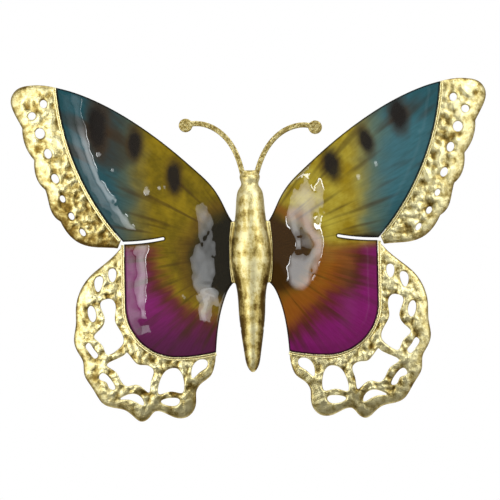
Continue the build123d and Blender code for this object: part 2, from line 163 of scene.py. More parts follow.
class StudioSettings(bpy.types.PropertyGroup):
    """The floor, the lamps and the camera."""

    floor_drop: length("Floor drop", "Gap between the ornament's lowest point and the floor", 80)
    floor_colour: colour("Floor", "Colour of the floor", (232, 231, 228))
    field: length("Field", "Width of the view at the ornament", 320)
    distance: length("Camera distance", "Distance from the camera to the ornament", 2600)
    roll: FloatProperty(
        name="Camera roll", description="Turn of the camera", default=radians(1), subtype="ANGLE"
    )
    key: brightness("Key softbox", "Brightness of the tall left softbox", 4.0)
    fill: brightness("Fill softbox", "Brightness of the high right softbox", 4.0)
    side: brightness("Side softbox", "Brightness of the tall right softbox", 2.8)
    top: brightness("Top softbox", "Brightness of the softbox overhead", 4.0)
    strip: brightness("Strip lamp", "Brightness of the narrow lamp", 18)
    outer: brightness("Outer softbox", "Brightness of the softbox far left", 1.7)
    tent: brightness("Tent", "Brightness of the tent straight in front", 0.14)
    ambient: brightness("Ambient", "Light from all round", 0.5)


# Meshes


def use(piece):
    """Makes one object the only selected one, and active."""
    bpy.ops.object.select_all(action="DESELECT")
    piece.select_set(True)
    bpy.context.view_layer.objects.active = piece


@contextmanager
def editing(piece):
    """Edits one object's mesh, with all of it selected at the start."""
    use(piece)
    bpy.ops.object.mode_set(mode="EDIT")
    bpy.ops.mesh.select_all(action="SELECT")
    yield
    bpy.ops.object.mode_set(mode="OBJECT")


def add(operator, name, **settings):
    """Adds a named object with one of Blender's own operators."""
    bpy.ops.object.select_all(action="DESELECT")
    operator(**settings)
    piece = bpy.context.active_object
    piece.name = name
    return piece


def copy_node(node, name):
    """A merged copy of a frame node's mesh, as a new object."""
    piece = bpy.data.objects.new(name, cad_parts[node].data.copy())
    bpy.context.collection.objects.link(piece)
    piece.data.materials.clear()
    use(piece)
    bpy.ops.mesh.customdata_custom_splitnormals_clear()
    with editing(piece):
        bpy.ops.mesh.remove_doubles(threshold=MERGE)
    return piece


def shape(piece, kind, **settings):
    """Adds a modifier with its settings, and applies it."""
    modifier = piece.modifiers.new(kind.title(), kind)
    for key, value in settings.items():
        setattr(modifier, key, value)
    use(piece)
    bpy.ops.object.modifier_apply(modifier=modifier.name)


def read_rows(items, name, kind=np.float32):
    """A property of many items, one row each."""
    rows = np.empty(len(items) * 3, kind)
    items.foreach_get(name, rows)
    return rows.reshape(-1, 3)


def points(piece):
    """A mesh's points, one row each."""
    return read_rows(piece.data.vertices, "co", float)


def set_points(piece, rows):
    """Puts a mesh's points in new places."""
    piece.data.vertices.foreach_set("co", np.ascontiguousarray(rows).ravel())
    piece.data.update()


def normals(piece):
    """A mesh's point normals, one row each."""
    return read_rows(piece.data.vertex_normals, "vector")


def facing(piece):
    """The y of each face's normal, below 0 where the face looks at the viewer."""
    return read_rows(piece.data.polygon_normals, "vector")[:, 1]


def record_value(piece, name, values):
    """Stores one number for each point, for the materials to read."""
    attribute = piece.data.attributes.new(name, "FLOAT", "POINT")
    attribute.data.foreach_set("value", np.asarray(values, np.float32))


def outline_loops(piece, step):
    """Points along each closed edge where a sheet's front meets its cut walls, the longest loop first."""
    mesh = bmesh.new()
    mesh.from_mesh(piece.data)
    rim = set()
    for edge in mesh.edges:
        sides = sorted(face.normal.y for face in edge.link_faces)
        if len(sides) == 2 and sides[0] < FRONT and abs(sides[1]) < WALL:
            rim.add(edge)
    loops = []
    while rim:
        found, ahead = [], [rim.pop()]
        while ahead:
            edge = ahead.pop()
            start, end = (vertex.co for vertex in edge.verts)
            count = int((end - start).length / step) + 1
            found += [start.lerp(end, i / count) for i in range(count)]
            beside = {other for vertex in edge.verts for other in vertex.link_edges} & rim
            rim -= beside
            ahead += beside
        loops.append(found)
    mesh.free()
    return sorted(loops, key=len, reverse=True)


def place_tree(places):
    """A tree of places seen from the front, to find the nearest in."""
    tree = KDTree(len(places))
    for i, (x, z) in enumerate(places):
        tree.insert((x, 0, z), i)
    tree.balance()
    return tree


def outline_tree(*loops):
    """A tree of outline points, to measure from."""
    return place_tree([(point.x, point.z) for loop in loops for point in loop])


def node_surface(node):
    """A frame node's surface, to measure from."""
    return BVHTree.FromObject(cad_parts[node], bpy.context.evaluated_depsgraph_get())


def distances(tree, rows):
    """Each point's distance from an outline, seen from the front."""
    return np.array([tree.find((x, 0, z))[2] for x, z in rows[:, (0, 2)]])


def ramp(values, start, end):
    """Goes from 0 to 1 while the values go from start to end."""
    return np.clip((values - start) / (end - start), 0, 1)


def bell(values, middle, half_width):
    """A soft bump: 1 in the middle, falling away on both sides."""
    return np.exp(-(((values - middle) / half_width) ** 2))


def turned_edge(distance, width):
    """A quarter-round lip: 1 on an outline, and 0 from a width inside it."""
    return 1 - np.sqrt(1 - (1 - ramp(distance, 0, width)) ** 2)


def cloud_texture(name, size, detail):
    """A cloudy texture for the Displace modifier."""
    texture = bpy.data.textures.new(name, "CLOUDS")
    texture.noise_scale = size
    texture.noise_basis = "IMPROVED_PERLIN"
    texture.noise_depth = detail
    return texture


def work_sheet(piece, texture, depth, way="Y", level=0.5):
    """Presses a texture into a sheet, front and back alike, and leaves it in place at the texture's level."""
    settings = {"texture_coords": "LOCAL", "direction": way, "strength": -depth, "mid_level": level}
    shape(piece, "DISPLACE", texture=texture, **settings)


def even_mesh(piece, voxel, rounds):
    """Gives a piece an even mesh with softened corners."""
    shape(piece, "REMESH", mode="VOXEL", voxel_size=voxel, use_smooth_shade=True)
    shape(piece, "SMOOTH", factor=0.5, iterations=rounds)


def settle(piece, node, slot, *materials):
    """Gives a finished piece its materials and its place on the frame, and hides its node; the slot is not
    used.
    """
    piece.data.materials.clear()
    for material in materials:
        piece.data.materials.append(material)
    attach(piece, "root")
    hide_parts(node)


# Dark marks on the wings, in millimetres from the thorax: across and up, half width and half height, turn in
# degrees, share of ink
MARKS = (
    (95.5, 85, 6, 12, 10, 0.95),
    (74.5, 68.5, 4.4, 9, 22, 0.95),
    (52.3, 53.5, 6, 10.5, 12, 0.95),
    (72, 4.5, 15, 4.8, 4, 0.95),
    (-87, 66, 11, 11, 0, 0.15),
    (-97, 80, 7, 17, 0, 0.95),
    (-73, 69.5, 4.8, 11, 0, 0.95),
    (-48.5, 47, 5, 11.5, 0, 0.95),
)

# How the wing paints fade, in millimetres from the thorax or in shares of a noise. STARTS, ENDS and SHARES
# are for the left and the right wing.
MIDLINE = -1.0, 1.0
DRIFT_SIZE, PAINT_DRIFT = 0.018, 16.0
CLOUD_SIZE, CLOUD_FADE = 0.011, (0.3, 0.75)
ROOT_SLOPE, ROOT_FADE = (1.25, 6.0), (32.0, 57.0)
WARM_RISE, WARM_FALL, WARM_SHARES = (0.1, 0.45), (1.0, 0.5), (0.15, 0.7)
HINDWING_FADE = 7.0, -3.0
HINDWING_OVAL = 66.0, 54.0
HINDWING_DRIFT, HINDWING_RAYS = 0.3, 0.24
AMBER_STARTS, AMBER_ENDS = (0.8, 0.52), (1.05, 0.85)
WINE_FADE, PLUM_FADE = (0.82, 1.04), (0.96, 1.26)
FOOT_FADE, FOOT_SHARES = (-32.0, -64.0), (0.56, 0.12)
FOREWING_FADE = 4.0, 8.0
SLATE_FADE, TEAL_FADE = (61.0, 80.0), (70.0, 93.0)
LOW_TEAL_FADE, TIP_TEAL_FADE, DEEP_TEAL_SHARE = (45.0, 14.0), (74.0, 94.0), 0.7

# Rays from the root: how many to a radian, how they waver outward, how the two wings' rays differ
RAY_COUNT, RAY_WAVER, RAY_SHIFT = 15.0, 0.02, 7.0
FINE_RAY_SIZE = 0.2
DARK_RAYS, RAY_RUN, RAY_SHARE, PLUM_RAY_SHARE = (0.5, 0.28), (24.0, 46.0), 0.6, 0.5
LIGHT_RAYS, LIGHT_RAY_SHARE = (0.3, 0.75), 0.6
RAY_LIGHT = paint(160, 158, 150)

# Brushed marks: smeared edge, brown halo and ink; then the painted shade, in ink, along the panel's edge
SMEAR_SIZE, SMEAR_REACH = 0.008, 0.6
MARK_FADE = 4.5, 6.5
HALO_FADE, HALO_SHARE = (1.6, 0.9), 0.55
INK_FADE = 1.15, 0.5
PAINTED_EDGE_SHADE_FADE, PAINTED_EDGE_SHADE_SHARE = (1.3, 0.5), 0.85

# Gold leaf: weight of the mottle over the relief, then where pale leaf and brown show: stained dents, painted
# shade
LEAF_MOTTLE, PALE_FADE, STAIN_AND_SHADE_FADE = 0.9, (0.3, 0.68), (0.54, 0.2)
GRAIN_SHARE, GRAIN_DEPTH = 1 / 6, 1 / 25
BODY_STREAK_SIZE, BODY_STREAK = (0.0035, 0.0035, 0.014), 0.8
BODY_MOTTLE_SIZE, BODY_MOTTLE = 0.0017, 0.9
BODY_PALE_FADE, BODY_STAIN_AND_SHADE_FADE = (0.3, 0.65), (0.42, 0.05)

# Steel behind the body and dull gilt behind the wings
SCRATCH_SIZE, STEEL_STAIN, STEEL_DARK = (0.0006, 0.0006, 0.02), 0.55, 0.35
BACK_STAIN_SIZE, BACK_STAIN_FADE = 0.012, (0.35, 0.7)
DUST_SIZE = 0.0012

# Most of a soft noise lies in this span
NOISE_SPAN = 0.3, 0.7
NOISE_MIDDLE = 0.5


# Materials


class Nodes:
    """A node tree, added to a step at a time."""

    def __init__(self, tree):
        self.tree = tree

    def node(self, kind, inputs=None, **settings):
        """Adds a node, with its settings and what feeds it."""
        node = self.tree.nodes.new(kind)
        for key, value in settings.items():
            setattr(node, key, value)
        for socket, value in (inputs or {}).items():
            self.feed(node.inputs[socket], value)
        return node

    def feed(self, socket, value):
        """Links a socket, or sets its number or colour."""
        if isinstance(value, bpy.types.NodeSocket):
            self.tree.links.new(value, socket)
        elif socket.type == "RGBA":
            socket.default_value = (*value, 1)
        else:
            socket.default_value = value

    def math(self, operation, *values):
        """One sum."""
        return self.node("ShaderNodeMath", dict(enumerate(values)), operation=operation).outputs[0]

    def product(self, first, *others):
        """Several numbers multiplied."""
        for other in others:
            first = self.math("MULTIPLY", first, other)
        return first

    def vector(self, *parts):
        """Numbers put together as a place."""
        return self.node("ShaderNodeCombineXYZ", dict(enumerate(parts))).outputs[0]

    def span(self, place):
        """A place's distance from the origin."""
        return self.node("ShaderNodeVectorMath", {0: place}, operation="LENGTH").outputs["Value"]

    def ease(self, value, start, end, low=0.0, high=1.0):
        """Eases from low to high while a value goes from start to end."""
        inputs = {"Value": value, "From Min": start, "From Max": end, "To Min": low, "To Max": high}
        node = self.node("ShaderNodeMapRange", inputs, interpolation_type="SMOOTHSTEP")
        return node.outputs["Result"]

    def blend(self, share, below, above, way="MIX"):
        """Lays one colour over another."""
        inputs = {0: share, 6: below, 7: above}
        return self.node("ShaderNodeMix", inputs, data_type="RGBA", blend_type=way).outputs[2]


class Finish(Nodes):
    """One material, painted on the piece's own coordinates."""

    def __init__(self, name):
        self.material = bpy.data.materials.new(name)
        self.material.use_nodes = True
        super().__init__(self.material.node_tree)
        self.surface = self.tree.nodes["Principled BSDF"]
        self.place = self.node("ShaderNodeTexCoord").outputs["Object"]

    def set(self, **values):
        """Sets the surface's own sockets, by their names with _ for spaces."""
        for name, value in values.items():
            self.feed(self.surface.inputs[name.replace("_", " ")], value)

    def noise(self, size, place=None, detail=3.0, roughness=0.55):
        """Soft noise with features of a size in metres, or in units of the place that it reads."""
        inputs = {"Vector": place or self.place, "Scale": 1 / size, "Detail": detail, "Roughness": roughness}
        return self.node("ShaderNodeTexNoise", inputs).outputs["Fac"]

    def sway(self, value, noise, amount):
        """A number that a noise sways up and down."""
        return self.math("MULTIPLY_ADD", self.math("SUBTRACT", noise, NOISE_MIDDLE), amount, value)

    def stretched(self, size):
        """Object coordinates divided by a size on each axis, for streaks."""
        scale = tuple(1 / value for value in size)
        inputs = {"Vector": self.place, "Scale": scale}
        return self.node("ShaderNodeMapping", inputs, vector_type="POINT").outputs[0]

    def value(self, name):
        """A number stored on the points of the piece."""
        return self.node("ShaderNodeAttribute", attribute_name=name).outputs["Fac"]

    def metal(self, colour, grain, roughness, depth, metallic=1.0):
        """A metal surface whose grain gives it fine relief and an uneven shine."""
        inputs = {"Height": grain, "Distance": depth, "Strength": 1.0}
        relief = self.node("ShaderNodeBump", inputs).outputs[0]
        self.set(Base_Color=colour, Metallic=metallic, Normal=relief)
        self.set(Roughness=self.ease(grain, *NOISE_SPAN, *roughness))
        return self.material


class Lacquer(Finish):
    """The wings' paint, laid on in layers from the wing root outward."""

    def __init__(self, wings):
        super().__init__("lacquer_paint")
        self.wings = wings
        inputs = {"Vector": self.place, "Location": THORAX, "Scale": (MM,) * 3}
        from_root = self.node("ShaderNodeMapping", inputs, vector_type="TEXTURE").outputs[0]
        self.across, _, self.up = self.node("ShaderNodeSeparateXYZ", {0: from_root}).outputs
        self.out = self.math("ABSOLUTE", self.across)
        self.right = self.by_side(0.0, 1.0)
        self.drift = self.noise(DRIFT_SIZE, detail=2.0)
        self.reach = self.span(self.vector(self.out, self.up))
        ray_place = self.vector(
            self.product(self.math("ARCTAN2", self.up, self.out), RAY_COUNT),
            self.product(self.reach, RAY_WAVER),
            self.product(self.right, RAY_SHIFT),
        )
        self.rays = self.noise(1.0, ray_place, detail=1.0)
        self.fine_rays = self.noise(FINE_RAY_SIZE, ray_place)
        self.plum = None

    def by_side(self, left, right):
        """A number that differs on the left and the right wing."""
        return self.ease(self.across, *MIDLINE, left, right)

    def olive(self):
        """Clouded olive, with a dark root in a warm rim."""
        wings = self.wings
        dark = self.blend(self.right, wings.deep_olive, wings.olive)
        light = self.blend(self.right, wings.olive, wings.straw)
        colour = self.blend(self.ease(self.noise(CLOUD_SIZE), *CLOUD_FADE), dark, light)
        reach = self.span(self.vector(self.out, self.math("MULTIPLY_ADD", self.up, *ROOT_SLOPE)))
        root = self.ease(self.sway(reach, self.drift, PAINT_DRIFT), *ROOT_FADE)
        colour = self.blend(root, self.blend(self.right, wings.soot, wings.umber), colour)
        warm = self.product(
            self.ease(root, *WARM_RISE), self.ease(root, *WARM_FALL), self.by_side(*WARM_SHARES)
        )
        return self.blend(warm, colour, wings.amber)

    def hindwing(self, colour):
        """Amber, then wine, then plum below the slit, and a dark foot."""
        wings = self.wings
        width, height = HINDWING_OVAL
        oval = self.vector(self.math("DIVIDE", self.out, width), self.math("DIVIDE", self.up, height))
        reach = self.sway(self.span(oval), self.drift, HINDWING_DRIFT)
        reach = self.sway(reach, self.rays, HINDWING_RAYS)
        below = self.ease(self.up, *HINDWING_FADE)
        amber_fade = self.by_side(*AMBER_STARTS), self.by_side(*AMBER_ENDS)
        colour = self.blend(self.product(below, self.ease(reach, *amber_fade)), colour, wings.amber)
        colour = self.blend(self.product(below, self.ease(reach, *WINE_FADE)), colour, wings.wine)
        self.plum = self.product(below, self.ease(reach, *PLUM_FADE))
        colour = self.blend(self.plum, colour, wings.plum)
        foot = self.product(self.ease(self.up, *FOOT_FADE), self.by_side(*FOOT_SHARES))
        return self.blend(foot, colour, wings.ink)

    def forewing(self, colour):
        """Slate, then teal above the slit, which is deeper at both ends of the right wing."""
        wings = self.wings
        above = self.ease(self.up, *FOREWING_FADE)
        spread = self.sway(self.out, self.drift, PAINT_DRIFT)
        slate = self.product(above, self.ease(spread, *SLATE_FADE))
        colour = self.blend(slate, colour, self.blend(self.right, wings.deep_slate, wings.slate))
        ends = [self.ease(self.up, *fade, 0.0, DEEP_TEAL_SHARE) for fade in (LOW_TEAL_FADE, TIP_TEAL_FADE)]
        right_teal = self.blend(self.math("MAXIMUM", *ends), wings.teal, wings.deep_teal)
        teal = self.product(above, self.ease(spread, *TEAL_FADE))
        return self.blend(teal, colour, self.blend(self.right, wings.deep_teal, right_teal))

    def brushed_rays(self, colour):
        """Dark rays from the root, fainter on the plum, and fine light ones."""
        shade = self.product(
            self.ease(self.rays, *DARK_RAYS),
            self.ease(self.reach, *RAY_RUN, 0.0, RAY_SHARE),
            self.ease(self.plum, 0.0, 1.0, 1.0, PLUM_RAY_SHARE),
        )
        colour = self.blend(shade, colour, self.wings.umber)
        light = self.product(self.ease(self.fine_rays, *LIGHT_RAYS), LIGHT_RAY_SHARE)
        return self.blend(light, colour, RAY_LIGHT, "SOFT_LIGHT")

    def marks(self, colour):
        """Dark marks along the leading edges and over the right slit, each in a brown halo."""
        place = self.vector(self.across, self.up)
        smear = self.noise(SMEAR_SIZE)
        painted = self.ease(self.up, *MARK_FADE)
        for x, z, half_width, half_height, turn, ink in MARKS:
            inputs = {
                "Vector": place,
                "Location": (x, z, 0),
                "Rotation": (0, 0, radians(turn)),
                "Scale": (half_width, half_height, 1),
            }
            local = self.node("ShaderNodeMapping", inputs, vector_type="TEXTURE").outputs[0]
            near = self.sway(self.span(local), smear, SMEAR_REACH)
            halo = self.product(self.ease(near, *HALO_FADE, 0.0, HALO_SHARE), painted)
            colour = self.blend(halo, colour, self.wings.umber)
            mark = self.product(self.ease(near, *INK_FADE, 0.0, ink), painted)
            colour = self.blend(mark, colour, self.wings.ink)
        return colour

    def pool(self, colour):
        """Painted shade: ink darkens the paint along the panel's edges."""
        share = self.ease(self.value("edge"), *PAINTED_EDGE_SHADE_FADE, 0.0, PAINTED_EDGE_SHADE_SHARE)
        return self.blend(share, colour, self.wings.ink)


def wing_lacquer(wings):
    """Clear-coated paint that fades from the wing root outward, with rays and brushed marks."""
    finish = Lacquer(wings)
    colour = finish.olive()
    for layer in (finish.hindwing, finish.forewing, finish.brushed_rays, finish.marks, finish.pool):
        colour = layer(colour)
    finish.set(Base_Color=colour, Metallic=0.0, Roughness=0.5, Specular_IOR_Level=0.0)
    finish.set(Coat_Weight=finish.value("gloss"), Coat_Roughness=0.02, Coat_IOR=1.6)
    return finish.material


def gilt(name, settings, size, roughness, brown_share):
    """Gold leaf over worked metal: pale on the crests, stained in the dents, darker with any painted shade in
    the relief.
    """
    finish = Finish(name)
    mottle = finish.noise(size, detail=5.0, roughness=0.65)
    tone = finish.sway(finish.value("relief"), mottle, LEAF_MOTTLE)
    colour = finish.blend(finish.ease(tone, *PALE_FADE), settings.honey, settings.pale)
    # Brown for the stained dents, and for the painted shade that the relief carries on the lace's edges and
    # hem
    dents = finish.product(finish.ease(tone, *STAIN_AND_SHADE_FADE), brown_share)
    colour = finish.blend(dents, colour, settings.brown)
    return finish.metal(colour, finish.noise(size * GRAIN_SHARE, detail=4.0), roughness, size * GRAIN_DEPTH)


def body_leaf(settings):
    """Satin leaf on the body, rubbed brown in streaks along it, with painted highlights and shade from its
    relief.
    """
    finish = Finish("body_leaf")
    streak = finish.noise(1.0, finish.stretched(BODY_STREAK_SIZE), detail=4.0, roughness=0.65)
    mottle = finish.noise(BODY_MOTTLE_SIZE, detail=5.0, roughness=0.7)
    tone = finish.sway(finish.value("relief"), streak, BODY_STREAK)
    tone = finish.sway(tone, mottle, BODY_MOTTLE)
    colour = finish.blend(finish.ease(tone, *BODY_PALE_FADE), settings.honey, settings.pale)
    colour = finish.blend(finish.ease(tone, *BODY_STAIN_AND_SHADE_FADE), colour, settings.brown)
    return finish.metal(colour, mottle, roughness=(0.4, 0.52), depth=0.0001)


def worked_steel(name, base, size):
    """Bare steel at the back, with fine scratches and stains."""
    finish = Finish(name)
    tone = finish.noise(size, detail=5.0, roughness=0.6)
    stained = finish.ease(tone, *NOISE_SPAN, 0.0, STEEL_STAIN)
    colour = finish.blend(stained, base, tuple(value * STEEL_DARK for value in base))
    scratch = finish.noise(1.0, finish.stretched(SCRATCH_SIZE))
    return finish.metal(colour, scratch, roughness=(0.32, 0.5), depth=0.00002)


def back_gilt(settings):
    """Dull gold paint on the backs of the wings."""
    finish = Finish("dull_gilt_back")
    tone = finish.noise(BACK_STAIN_SIZE, detail=5.0, roughness=0.6)
    colour = finish.blend(finish.ease(tone, *BACK_STAIN_FADE), settings.brown, settings.honey)
    dust = finish.noise(DUST_SIZE)
    return finish.metal(colour, dust, roughness=(0.42, 0.6), depth=0.00004, metallic=0.9)


# Pieces


# Lumps in the wing sheets, and hollows below 0, in millimetres from the thorax: across and up, half width and
# half height, height
LUMPS = (
    (27, 5, 8, 40, -0.8),
    (32, 3, 9, 7, -2.2),
    (60, 42, 16, 16, 1.9),
    (48, -18, 13, 16, -1),
    (67.6, 44.8, 2, 2, 0.6),
    (79.4, 53.3, 1.8, 1.8, 0.55),
    (108, 72.5, 2.2, 2.2, 0.6),
    (-93.9, 62.5, 2.6, 2.6, 0.75),
    (-86, 52.3, 1.8, 1.8, 0.6),
    (-85, 33, 2.6, 2.6, 0.75),
    (-56, 40.5, 2.2, 2.2, 0.7),
    (-63.6, 38.4, 2.6, 2.6, 0.75),
    (-52, 34, 14, 12, 0.8),
    (-45, -30, 3, 3, 0.5),
    (-27, -23, 6, 3, -0.6),
    (-69, -40, 9, 6, 1.3),
    (-36, -45, 8, 12, 1.7),
)

# Rolls in the wing sheets along the beads: wing, height, middle and half width, in millimetres from the seam.
# A roll starts flat at the seam, and ends over a span of heights between forewing and hindwing.
ROLLS = {
    "left": (("forewing", 1.5, 8.0, 9.0),),
    "right": (("forewing", 1.6, 5.0, 6.0), ("hindwing", 1.3, 6.0, 4.0)),
}
ROLL_START = 2.5
FOREWING_SPAN = 6.0, 14.0
SEAM_REACH = 3 * MM

# Where the lacquer's gloss fades, in millimetres: along every edge, along the right wing's seams, below the
# right root's bright patch, whose foot is a parabola, and at the left tip
EDGE_GLOSS = 0.8, 2.0
BORDER_DULL, BORDER_DULL_SHARE = (20.0, 9.0), 0.92
PATCH_FOOT, PATCH_CURVE, PATCH_FADE = (31.0, -23.0), 0.1, 4.0
PATCH_TOP, PATCH_SIDE = (-6.0, -10.0), (62.0, 54.0)
TIP_DULL_UP, TIP_DULL_OUT, TIP_DULL_SHARE = (70.0, 82.0), (96.0, 104.0), 0.8

# Steps that a wing sheet's grid goes on beyond its outline, before it is cut
GRID_MARGIN = 4


def node_outline(node, step):
    """A node's outline loops, from a copy that is taken away again."""
    pattern = copy_node(node, node + "_pattern")
    loops = outline_loops(pattern, step)
    bpy.data.objects.remove(pattern)
    return loops


def outline_cutter(node):
    """A straight prism through a sheet's outline, slit and openings."""
    cutter = copy_node(node, node + "_cutter")
    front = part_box(node)[0].y
    with editing(cutter):
        bpy.ops.mesh.select_all(action="DESELECT")
    cutter.data.polygons.foreach_set("select", facing(cutter) >= FRONT)
    bpy.ops.object.mode_set(mode="EDIT")
    bpy.ops.mesh.delete(type="FACE")
    bpy.ops.object.mode_set(mode="OBJECT")
    with editing(cutter):
        bpy.ops.transform.resize(value=(1, 0, 1), center_override=(0, 2 * front, 0))
        bpy.ops.mesh.extrude_region_move(TRANSFORM_OT_translate={"value": (0, -3 * front, 0)})
        bpy.ops.mesh.select_all(action="SELECT")
        bpy.ops.mesh.normals_make_consistent(inside=False)
    return cutter


def sheet_heights(node, xs, zs):
    """The front of a node on a grid of places, carried on at the same slope beyond its outline."""
    surface = node_surface(node)
    start, forward = 2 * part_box(node)[0].y, Vector((0, 1, 0))
    heights = np.full((len(zs), len(xs)), np.nan)
    for row, z in enumerate(zs):
        for column, x in enumerate(xs):
            hit = surface.ray_cast(Vector((x, start, z)), forward)[0]
            if hit is not None:
                heights[row, column] = hit.y
    slope_z, slope_x = np.gradient(heights, zs, xs)
    known = np.argwhere(np.isfinite(slope_x) & np.isfinite(slope_z))
    near = place_tree([(xs[column], zs[row]) for row, column in known])
    for row, column in np.argwhere(np.isnan(heights)):
        place = Vector((xs[column], 0, zs[row]))
        nearest, i, _ = near.find(place)
        at = tuple(known[i])
        away = place - nearest
        heights[row, column] = heights[at] + slope_x[at] * away.x + slope_z[at] * away.z
    return heights


def sheet_grid(node, name, step):
    """An even grid that follows a node's front, and goes on a little beyond its outline."""
    low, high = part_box(node)
    margin = GRID_MARGIN * step
    counts = [round((high[axis] - low[axis] + 2 * margin) / step) for axis in (0, 2)]
    xs = np.linspace(low.x - margin, high.x + margin, counts[0] + 1)
    zs = np.linspace(low.z - margin, high.z + margin, counts[1] + 1)
    heights = sheet_heights(node, xs, zs)
    divisions = dict(zip(("x_subdivisions", "y_subdivisions"), counts))
    sheet = add(bpy.ops.mesh.primitive_grid_add, name, size=1, **divisions)
    sheet.data.name = name
    place_x, place_z = np.meshgrid(xs, zs)
    set_points(sheet, np.column_stack([place_x.ravel(), heights.ravel(), place_z.ravel()]))
    shape(sheet, "SMOOTH", factor=0.5, iterations=16)
    return sheet


def seam_tree(bead_node, outline_points):
    """A tree of the outline points that lie along a bead."""
    bead = node_surface(bead_node)
    return outline_tree([point for point in outline_points if bead.find_nearest(point)[3] < SEAM_REACH])


def press_wing(panel, side, wings, outline, seams):
    """Works the lumps, the rounded lip and the rolls along the seams into a wing sheet."""
    rows = points(panel)
    place = (rows - THORAX) / MM
    for x, z, half_width, half_height, height in LUMPS:
        away = np.hypot((place[:, 0] - x) / half_width, (place[:, 2] - z) / half_height)
        rows[:, 1] -= height * MM * bell(away, 0, 1)
    rows[:, 1] += wings.lip_drop * (1 - ramp(distances(outline, rows), 0, wings.lip_width)) ** 2
    forewing = ramp(place[:, 2], *FOREWING_SPAN)
    shares = {"forewing": forewing, "hindwing": 1 - forewing}
    for wing, height, middle, width in ROLLS[side]:
        away = distances(seams[wing], rows) / MM
        rolled = bell(away, middle, width) * (1 - np.exp(-away / ROLL_START))
        rows[:, 1] -= height * MM * rolled * shares[wing]
    set_points(panel, rows)


def drop_fins(piece):
    """Takes out the triangles that stand loose along a cut, with an edge that no other face shares."""
    mesh = bmesh.new()
    mesh.from_mesh(piece.data)
    fins = [face for face in mesh.faces if any(edge.is_boundary for edge in face.edges)]
    bmesh.ops.delete(mesh, geom=fins, context="FACES")
    mesh.to_mesh(piece.data)
    mesh.free()


def cut_out(panel, node):
    """Cuts a sheet to its node's outline, and clears the slivers that the cut leaves."""
    cutter = outline_cutter(node)
    shape(panel, "BOOLEAN", operation="INTERSECT", solver="MANIFOLD", object=cutter)
    bpy.data.objects.remove(cutter)
    with editing(panel):
        bpy.ops.mesh.remove_doubles(threshold=SLIVER)
        bpy.ops.mesh.dissolve_degenerate(threshold=SLIVER)
        bpy.ops.mesh.quads_convert_to_tris(quad_method="BEAUTY", ngon_method="BEAUTY")
    drop_fins(panel)


def record_gloss(panel, side, outline, seams):
    """Stores each point's distance from the edge, and its gloss."""
    rows = points(panel)
    x, _, z = ((rows - THORAX) / MM).T
    edge = distances(outline, rows) / MM
    if side == "right":
        away = np.minimum(*(distances(tree, rows) for tree in seams.values())) / MM
        border = ramp(away, *BORDER_DULL)
        border *= border * (3 - 2 * border)
        foot_x, foot_z = PATCH_FOOT
        below = ramp(PATCH_CURVE * (x - foot_x) ** 2 + foot_z - z, 0, PATCH_FADE)
        dull = np.maximum(BORDER_DULL_SHARE * border, below * ramp(z, *PATCH_TOP) * ramp(x, *PATCH_SIDE))
    else:
        dull = TIP_DULL_SHARE * ramp(z, *TIP_DULL_UP) * ramp(-x, *TIP_DULL_OUT)
    record_value(panel, "edge", edge)
    record_value(panel, "gloss", ramp(edge, *EDGE_GLOSS) * (1 - dull))


def wing_panel(side, wings):
    """One lacquered panel: a smooth wavering sheet with rounded lips, cut to the node's outline."""
    node = "wing_panel_" + side
    panel = sheet_grid(node, "lacquered_panel_" + side, wings.step)
    work_sheet(panel, cloud_texture("sheet_waver_" + side, wings.wave_size, 1), wings.wave_depth)
    work_sheet(panel, cloud_texture("sheet_ripple_" + side, wings.ripple_size, 1), wings.ripple_depth)
    outline_points = [point for loop in node_outline(node, wings.step / 2) for point in loop]
    outline = outline_tree(outline_points)
    seams = {wing: seam_tree(f"{wing}_rim_{side}", outline_points) for wing in WINGS}
    press_wing(panel, side, wings, outline, seams)
    shape(panel, "SOLIDIFY", thickness=wings.sheet, offset=-1.0, use_rim=True)
    cut_out(panel, node)
    record_gloss(panel, side, outline, seams)
    use(panel)
    bpy.ops.object.shade_smooth_by_angle(angle=radians(40))
    return panel


class BUTTERFLY_OT_wing_panels(bpy.types.Operator):
    """Builds the two domed, lacquered wing panels"""

    bl_idname = "butterfly.wing_panels"
    bl_label = "Wing panels"

    def execute(self, context):
        wings, gilt_settings = context.scene.butterfly_wings, context.scene.butterfly_gilt
        front, back = wing_lacquer(wings), back_gilt(gilt_settings)
        for side in SIDES:
            panel = wing_panel(side, wings)
            settle(panel, "wing_panel_" + side, "wing_lacquer", front, back)
            panel.data.polygons.foreach_set("material_index", (facing(panel) > -FRONT).astype(np.int32))
        return {"FINISHED"}


# Leaf on the gilt pieces: size of its mottle in metres, roughness, share of brown stain
LACE_LEAF = 0.0045, (0.28, 0.4), 1.0
BEAD_LEAF = 0.005, (0.26, 0.36), 0.4
ANTENNA_LEAF = 0.0016, (0.3, 0.5), 0.8

# Lace: heights in millimetres between which its low end begins, share of the fine pits elsewhere, how far the
# broad roll along the outer edge calms the dents, the painted shade on turned edges and hem, and darker low
# ends
LOW_END = 35.0, -15.0
PIT_SHARE = 0.2
HEM_CALM, HEM_REACH = 0.75, 1.6
LACE_CONTRAST = 1.5
LACE_EDGE_SHADE, LACE_HEM_SHADE = 0.05, 0.15
LOW_END_DARKENING = {"forewing_lace_left": 0.2, "hindwing_lace_right": -0.03}

# A relief of 0.5 is level sheet
LEVEL = 0.5



